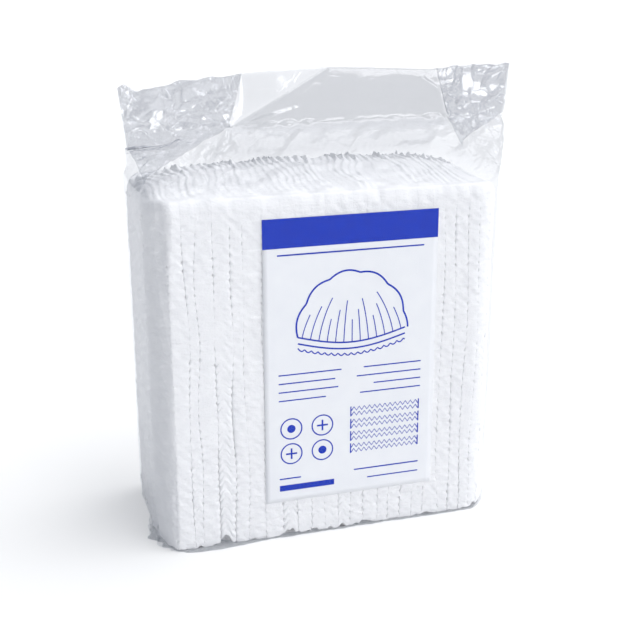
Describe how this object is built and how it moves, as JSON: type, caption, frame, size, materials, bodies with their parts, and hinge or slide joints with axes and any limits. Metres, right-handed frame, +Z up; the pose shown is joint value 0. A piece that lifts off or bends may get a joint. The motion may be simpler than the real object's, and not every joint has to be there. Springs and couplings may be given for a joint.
{
  "type": "pack of disposable hairnets in a clear film bag",
  "caption": "Block of pleated disposable hairnets standing four rows deep in a clear film bag with a flat header and a plain label sheet.",
  "frame": {"origin": "middle of the bag's flat base, on the floor", "axes": "+Z up along the caps, -Y out of the front with the label, +X to the right seen from the front"},
  "size_m": [0.224, 0.096, 0.2577],
  "materials": {
    "clear_film": "clear glossy thin film",
    "cap_nonwoven": "matt white spunbond nonwoven",
    "label_paper": "smooth white paper"
  },
  "bodies": {
    "root": {"film_bag": "clear_film", "label_sheet": "label_paper", "caps_second_row": "cap_nonwoven", "caps_third_row": "cap_nonwoven", "cap_front_01": "cap_nonwoven", "cap_front_02": "cap_nonwoven", "cap_front_03": "cap_nonwoven", "cap_front_04": "cap_nonwoven", "cap_front_05": "cap_nonwoven", "cap_front_06": "cap_nonwoven", "cap_front_07": "cap_nonwoven", "cap_front_08": "cap_nonwoven", "cap_front_09": "cap_nonwoven", "cap_front_10": "cap_nonwoven", "cap_front_11": "cap_nonwoven", "cap_front_12": "cap_nonwoven", "cap_front_13": "cap_nonwoven", "cap_front_14": "cap_nonwoven", "cap_front_15": "cap_nonwoven", "cap_front_16": "cap_nonwoven", "cap_front_17": "cap_nonwoven", "cap_front_18": "cap_nonwoven", "cap_front_19": "cap_nonwoven", "cap_front_20": "cap_nonwoven", "cap_front_21": "cap_nonwoven", "cap_front_22": "cap_nonwoven", "cap_front_23": "cap_nonwoven", "cap_front_24": "cap_nonwoven", "cap_front_25": "cap_nonwoven", "cap_back_01": "cap_nonwoven", "cap_back_02": "cap_nonwoven", "cap_back_03": "cap_nonwoven", "cap_back_04": "cap_nonwoven", "cap_back_05": "cap_nonwoven", "cap_back_06": "cap_nonwoven", "cap_back_07": "cap_nonwoven", "cap_back_08": "cap_nonwoven", "cap_back_09": "cap_nonwoven", "cap_back_10": "cap_nonwoven", "cap_back_11": "cap_nonwoven", "cap_back_12": "cap_nonwoven", "cap_back_13": "cap_nonwoven", "cap_back_14": "cap_nonwoven", "cap_back_15": "cap_nonwoven", "cap_back_16": "cap_nonwoven", "cap_back_17": "cap_nonwoven", "cap_back_18": "cap_nonwoven", "cap_back_19": "cap_nonwoven", "cap_back_20": "cap_nonwoven", "cap_back_21": "cap_nonwoven", "cap_back_22": "cap_nonwoven", "cap_back_23": "cap_nonwoven", "cap_back_24": "cap_nonwoven", "cap_back_25": "cap_nonwoven"}
  },
  "joints": []
}
